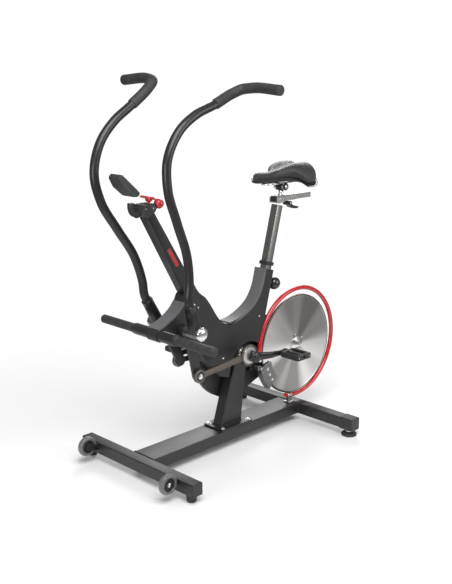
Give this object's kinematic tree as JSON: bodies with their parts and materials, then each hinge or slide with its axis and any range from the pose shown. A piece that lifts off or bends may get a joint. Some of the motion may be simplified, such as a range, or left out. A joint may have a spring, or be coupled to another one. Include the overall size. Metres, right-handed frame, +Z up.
{
  "type": "indoor training bike with arm levers",
  "caption": "Indoor training bike whose swinging arm levers are driven by the crank, with an open flywheel, belt drive, guard ring, foot bar, display and adjustable saddle.",
  "frame": {"origin": "centre of the bounding box in plan, at the level the feet stand on", "axes": "+Z up; the rider faces -Y and the rider's left is +X; X = 0 is the frame's plane of symmetry"},
  "size_m": [0.7316, 1.2904, 1.5492],
  "materials": {
    "black_paint": "satin black powder coat",
    "black_plastic": "fine moulded texture",
    "rubber": "matt",
    "clear_tyre": "semi-clear smooth polyurethane",
    "chrome": "polished",
    "satin_silver": "satin",
    "forged_steel": "forged, clear-coated",
    "spun_aluminium": "spun, polished",
    "red_paint": "gloss red",
    "red_plastic": "gloss red",
    "vinyl": "soft black vinyl",
    "screen": "clear dark display window"
  },
  "bodies": {
    "frame": {"base_frame": "black_paint", "left_front_end_cap": "black_plastic", "right_front_end_cap": "black_plastic", "left_rear_end_cap": "black_plastic", "right_rear_end_cap": "black_plastic", "left_front_foot": "rubber", "right_front_foot": "rubber", "left_rear_foot": "rubber", "right_rear_foot": "rubber", "left_wheel_bracket": "black_paint", "right_wheel_bracket": "black_paint", "upright_post": "black_paint", "crank_bearing": "satin_silver", "main_frame": "black_paint", "left_frame_cover": "black_plastic", "right_frame_cover": "black_plastic", "nose_bracket": "black_paint", "foot_bar": "black_paint", "left_foot_grip": "rubber", "right_foot_grip": "rubber", "pivot_tube": "black_paint", "pivot_shaft": "chrome", "drive_belt": "rubber", "belt_guard": "black_plastic", "belt_guard_inner": "black_plastic", "flywheel_stay": "black_paint", "ring_guard": "red_paint", "ring_clamp": "satin_silver", "seat_tube_collar": "black_paint", "mast_head": "black_plastic", "console_neck": "black_plastic"},
    "crankset": {"crank_axle": "satin_silver", "drive_pulley": "spun_aluminium", "left_crank": "black_paint", "right_crank": "black_paint"},
    "left_link": {"left_rod": "forged_steel"},
    "right_link": {"right_rod": "forged_steel"},
    "left_tread": {"left_pedal": "black_plastic"},
    "right_tread": {"right_pedal": "black_plastic"},
    "wheel": {"flywheel": "spun_aluminium", "flywheel_shaft": "spun_aluminium"},
    "left_swing": {"left_arm": "black_paint", "left_grip": "rubber", "left_lever": "black_paint"},
    "right_swing": {"right_arm": "black_paint", "right_grip": "rubber", "right_lever": "black_paint"},
    "magnet_brake": {"brake_fork": "black_paint"},
    "resistance_lever": {"shift_lever": "red_plastic"},
    "display": {"console": "black_plastic", "console_screen": "screen"},
    "post": {"seat_post": "satin_silver", "seat_head": "black_paint"},
    "rail": {"seat_rail": "satin_silver", "saddle_clamp": "black_paint", "saddle": "vinyl"},
    "height_pin": {"pop_pin": "black_plastic"},
    "rail_lock": {"rail_lock_lever": "black_plastic"},
    "left_caster": {"left_transport_wheel": "clear_tyre"},
    "right_caster": {"right_transport_wheel": "clear_tyre"}
  },
  "joints": [
    {"name": "crank_spin", "type": "hinge", "parent": "frame", "child": "crankset", "pos_m": [0, 0.0223, 0.39], "axis": [1, 0, 0], "continuous": true},
    {"name": "flywheel_spin", "type": "hinge", "parent": "frame", "child": "wheel", "pos_m": [0, 0.3773, 0.354], "axis": [1, 0, 0], "continuous": true},
    {"name": "left_rod_pivot", "type": "hinge", "parent": "crankset", "child": "left_link", "pos_m": [0, -0.00126, 0.40099], "axis": [1, 0, 0], "continuous": true},
    {"name": "right_rod_pivot", "type": "hinge", "parent": "crankset", "child": "right_link", "pos_m": [0, 0.04586, 0.37901], "axis": [1, 0, 0], "continuous": true},
    {"name": "left_pedal_spin", "type": "hinge", "parent": "crankset", "child": "left_tread", "pos_m": [0.181, 0.19195, 0.37903], "axis": [1, 0, 0], "continuous": true},
    {"name": "right_pedal_spin", "type": "hinge", "parent": "crankset", "child": "right_tread", "pos_m": [-0.181, -0.14735, 0.40097], "axis": [1, 0, 0], "continuous": true},
    {"name": "left_arm_swing", "type": "hinge", "parent": "frame", "child": "left_swing", "pos_m": [0, -0.3267, 0.57], "axis": [1, 0, 0], "range_deg": [-1, 14.5]},
    {"name": "right_arm_swing", "type": "hinge", "parent": "frame", "child": "right_swing", "pos_m": [0, -0.3267, 0.57], "axis": [1, 0, 0], "range_deg": [-14.5, 1]},
    {"name": "resistance_lever_turn", "type": "hinge", "parent": "frame", "child": "resistance_lever", "pos_m": [0, -0.4647, 1.062], "axis": [1, 0, 0], "range_deg": [-18, 18]},
    {"name": "brake_turn", "type": "hinge", "parent": "frame", "child": "magnet_brake", "pos_m": [0, 0.1263, 0.298], "axis": [1, 0, 0], "range_deg": [-3.6, 3.6]},
    {"name": "display_tilt", "type": "hinge", "parent": "frame", "child": "display", "pos_m": [0, -0.5427, 1.126], "axis": [1, 0, 0], "range_deg": [-10, 12]},
    {"name": "saddle_height", "type": "slide", "parent": "frame", "child": "post", "axis": [0, 0.2538, 0.9673], "range_m": [-0.0975, 0.0325]},
    {"name": "saddle_fore_aft", "type": "slide", "parent": "post", "child": "rail", "axis": [0, 1, 0], "range_m": [-0.04, 0.04]},
    {"name": "height_pin_pull", "type": "slide", "parent": "frame", "child": "height_pin", "axis": [0, 0.9673, -0.2538], "range_m": [-0.009, 0]},
    {"name": "rail_lock_turn", "type": "hinge", "parent": "post", "child": "rail_lock", "pos_m": [0, 0.33084, 0.998], "axis": [1, 0, 0], "range_deg": [-60, 0]},
    {"name": "left_caster_spin", "type": "hinge", "parent": "frame", "child": "left_caster", "pos_m": [0.247, -0.6037, 0.073], "axis": [1, 0, 0], "continuous": true},
    {"name": "right_caster_spin", "type": "hinge", "parent": "frame", "child": "right_caster", "pos_m": [-0.247, -0.6037, 0.073], "axis": [1, 0, 0], "continuous": true}
  ],
  "couplings": [
    {"joint": "flywheel_spin", "follows": "crank_spin", "ratio": 6.0465},
    {"joint": "left_rod_pivot", "follows": "crank_spin", "ratio": -1},
    {"joint": "right_rod_pivot", "follows": "crank_spin", "ratio": -1},
    {"joint": "right_arm_swing", "follows": "left_arm_swing", "ratio": -1},
    {"joint": "brake_turn", "follows": "resistance_lever_turn", "ratio": 0.2}
  ]
}
